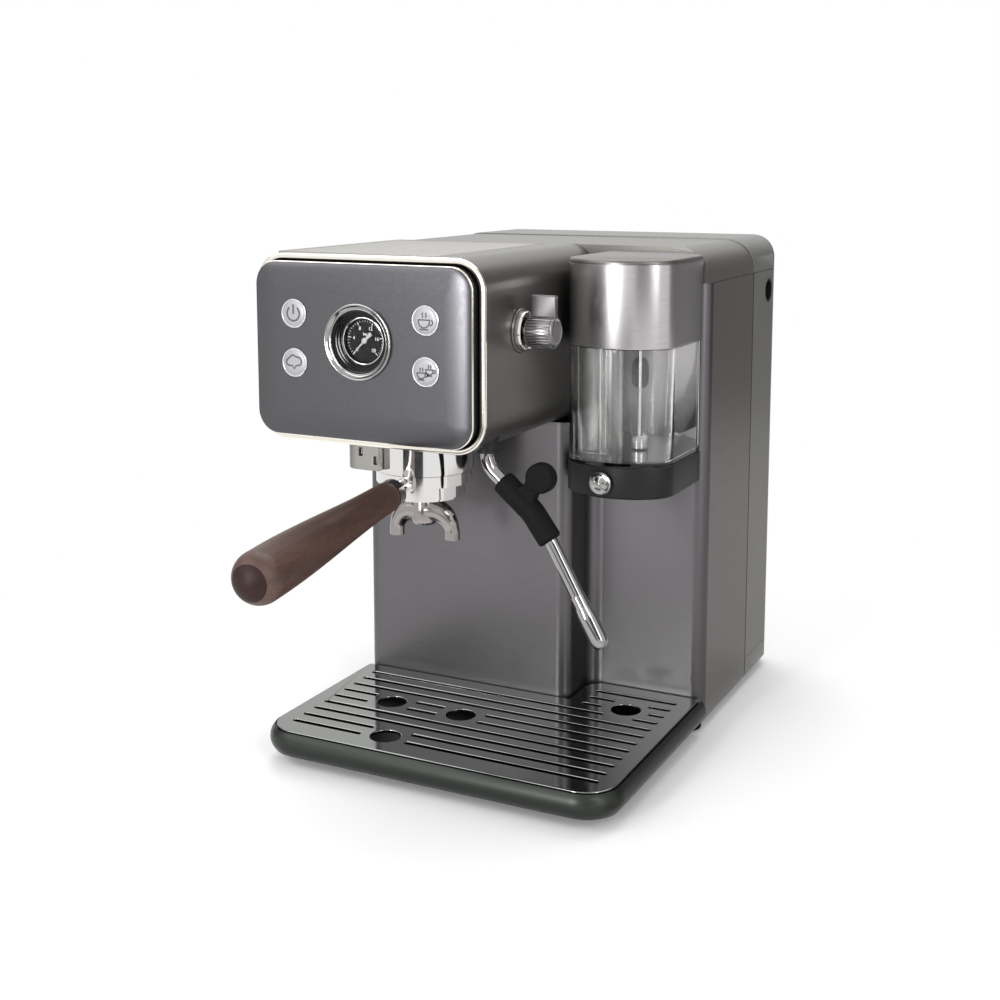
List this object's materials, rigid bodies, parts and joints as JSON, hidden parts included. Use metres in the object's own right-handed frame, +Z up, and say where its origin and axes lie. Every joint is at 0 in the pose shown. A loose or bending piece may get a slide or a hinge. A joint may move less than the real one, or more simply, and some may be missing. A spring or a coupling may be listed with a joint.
{
  "type": "espresso machine",
  "caption": "Pump espresso machine with a boxy brew head, pressure gauge, wood-handled portafilter, steam wand, milk jug, rear water tank and pull-out drip tray.",
  "frame": {"origin": "middle of the box round the machine, portafilter handle included, on the worktop under the feet", "axes": "+Z up, -Y towards the user at the front, +X to the user's right where the milk jug is"},
  "size_m": [0.249, 0.4953, 0.3353],
  "materials": {
    "dark_steel": "zinc-plated sheet steel",
    "rubber": "moulded matt rubber",
    "body_grey": "satin titanium-grey coated sheet",
    "brushed_steel": "brushed stainless steel",
    "black_plastic": "moulded, fine matt grain",
    "tank_grey": "moulded, satin grey",
    "chrome": "polished chrome plating",
    "pad_grey": "satin titanium-grey metallic coat",
    "board": "solder-masked board",
    "dial_black": "printed dial",
    "clear_glass": "flat clear glass",
    "satin_metal": "satin blasted metal",
    "steel": "fine brushed stainless steel",
    "heater_aluminium": "as cast",
    "hose": "silicone hose",
    "brass": "turned brass",
    "button_grey": "satin light-grey coat",
    "walnut": "oiled dark walnut",
    "tray_grey": "satin dark-grey metallic coat",
    "gloss_black": "mirror-polished dark plate",
    "clear_plastic": "clear moulded plastic"
  },
  "bodies": {
    "machine": {"base_plate": "dark_steel", "feet": "rubber", "side_panel_left": "body_grey", "side_panel_right": "body_grey", "front_panel": "brushed_steel", "top_cover": "body_grey", "dock_wall": "black_plastic", "plinth": "tank_grey", "tank_seat": "black_plastic", "cord_gland": "black_plastic", "chassis": "dark_steel", "head_housing": "body_grey", "head_underside": "black_plastic", "head_frame": "chrome", "pad_seal": "rubber", "control_pad": "pad_grey", "cup_plate": "brushed_steel", "button_board": "board", "gauge_bezel": "chrome", "gauge_case": "black_plastic", "gauge_dial": "dial_black", "gauge_glass": "clear_glass", "group_bracket": "satin_metal", "group_collar": "chrome", "group_gasket": "rubber", "shower_screen": "steel", "screen_screw": "steel", "thermoblock": "heater_aluminium", "pump": "black_plastic", "pump_mounts": "black_plastic", "water_pipes": "hose", "steam_valve": "brass", "knob_ring": "chrome", "wand_socket": "black_plastic", "milk_dock": "black_plastic", "milk_port": "black_plastic"},
    "power_button": {"button_power": "button_grey"},
    "steam_button": {"button_steam": "button_grey"},
    "single_button": {"button_single": "button_grey"},
    "double_button": {"button_double": "button_grey"},
    "needle": {"gauge_needle": "satin_metal"},
    "knob": {"steam_knob": "satin_metal"},
    "steam_wand": {"steam_pipe": "chrome", "wand_grip": "rubber", "steam_tip": "chrome"},
    "portafilter": {"portafilter": "chrome", "filter_basket": "steel", "spout": "chrome", "wood_handle": "walnut", "handle_cap": "walnut"},
    "tray": {"drip_tray": "tray_grey"},
    "grate": {"grate": "gloss_black"},
    "tank": {"water_tank": "tank_grey", "tank_grips": "black_plastic"},
    "tank_lid": {"tank_lid": "tank_grey"},
    "milk_jug": {"milk_base": "black_plastic", "milk_jug": "clear_plastic"},
    "milk_lid": {"milk_lid": "brushed_steel", "milk_tube": "clear_plastic"},
    "froth_dial": {"froth_dial": "chrome"}
  },
  "joints": [
    {"name": "power_press", "type": "slide", "parent": "machine", "child": "power_button", "axis": [0, 1, 0], "range_m": [0, 0.0015], "stiffness_N_per_m": 800, "springref_m": -0.001},
    {"name": "steam_press", "type": "slide", "parent": "machine", "child": "steam_button", "axis": [0, 1, 0], "range_m": [0, 0.0015], "stiffness_N_per_m": 800, "springref_m": -0.001},
    {"name": "single_press", "type": "slide", "parent": "machine", "child": "single_button", "axis": [0, 1, 0], "range_m": [0, 0.0015], "stiffness_N_per_m": 800, "springref_m": -0.001},
    {"name": "double_press", "type": "slide", "parent": "machine", "child": "double_button", "axis": [0, 1, 0], "range_m": [0, 0.0015], "stiffness_N_per_m": 800, "springref_m": -0.001},
    {"name": "needle_turn", "type": "hinge", "parent": "machine", "child": "needle", "pos_m": [-0.0405, -0.09473, 0.2828], "axis": [0, 1, 0], "range_deg": [0, 270], "stiffness_Nm_per_rad": 0.0005},
    {"name": "knob_turn", "type": "hinge", "parent": "machine", "child": "knob", "pos_m": [0.05, -0.04413, 0.2878], "axis": [1, 0, 0], "range_deg": [0, 90]},
    {"name": "wand_swing", "type": "hinge", "parent": "machine", "child": "steam_wand", "pos_m": [0.0295, -0.06963, 0.217], "axis": [0, 0, 1], "range_deg": [-120, 30]},
    {"name": "portafilter_turn", "type": "hinge", "parent": "machine", "child": "portafilter", "pos_m": [-0.0405, -0.02363, 0.191], "axis": [0, 0, 1], "range_deg": [-45, 0]},
    {"name": "tray_pull", "type": "slide", "parent": "machine", "child": "tray", "axis": [0, -1, 0], "range_m": [0, 0.18]},
    {"name": "grate_lift", "type": "slide", "parent": "tray", "child": "grate", "axis": [0, 0, 1], "range_m": [0, 0.06]},
    {"name": "tank_lift", "type": "slide", "parent": "machine", "child": "tank", "axis": [0, 0, 1], "range_m": [0, 0.12]},
    {"name": "tank_lid_lift", "type": "slide", "parent": "tank", "child": "tank_lid", "axis": [0, 0, 1], "range_m": [0, 0.06]},
    {"name": "milk_jug_pull", "type": "slide", "parent": "machine", "child": "milk_jug", "axis": [0, -1, 0], "range_m": [0, 0.026]},
    {"name": "milk_lid_lift", "type": "slide", "parent": "milk_jug", "child": "milk_lid", "axis": [0, 0, 1], "range_m": [0, 0.09]},
    {"name": "froth_turn", "type": "hinge", "parent": "milk_jug", "child": "froth_dial", "pos_m": [0.0785, -0.00563, 0.18865], "axis": [0, -1, 0], "range_deg": [0, 90]}
  ]
}
